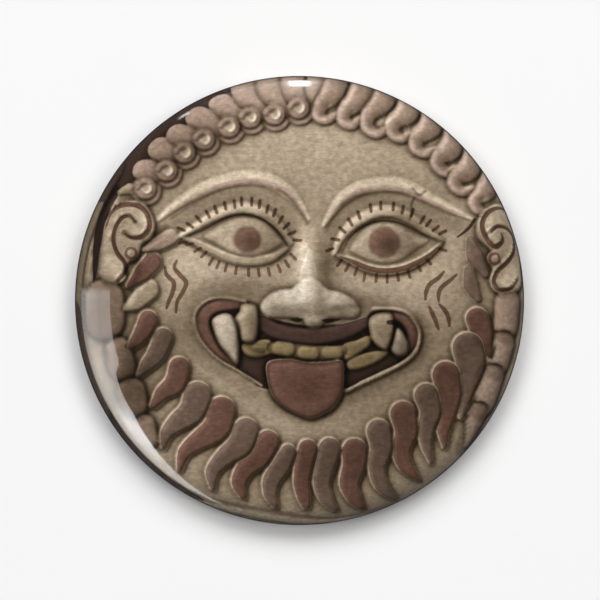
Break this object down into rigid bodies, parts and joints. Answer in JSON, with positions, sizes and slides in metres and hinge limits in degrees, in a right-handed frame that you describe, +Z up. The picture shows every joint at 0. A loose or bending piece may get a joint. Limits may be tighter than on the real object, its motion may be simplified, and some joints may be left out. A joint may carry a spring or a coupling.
{
  "type": "pin-back button badge",
  "caption": "Round domed button badge with a printed face under clear film, rolled over a tinplate back plate that carries a spring wire pin for fastening it to cloth.",
  "frame": {"origin": "middle of the flat land of the rolled rim, on the surface that the badge lies on", "axes": "+Z up out of the printed face, +Y towards the top of the picture, +X to its right"},
  "size_m": [0.058, 0.058, 0.0062],
  "materials": {
    "film": "clear polyester film, high gloss",
    "print": "full-colour print of a painted clay relief, in cream, red-brown and grey-brown",
    "shell_tinplate": "bright tinplate",
    "plate_tinplate": "bright tinplate, lightly scuffed",
    "pin_steel": "nickel-plated spring steel wire"
  },
  "bodies": {
    "root": {"clear_film": "film", "printed_paper": "print", "front_shell": "shell_tinplate", "back_plate": "plate_tinplate", "pin_wire": "pin_steel"}
  },
  "joints": []
}
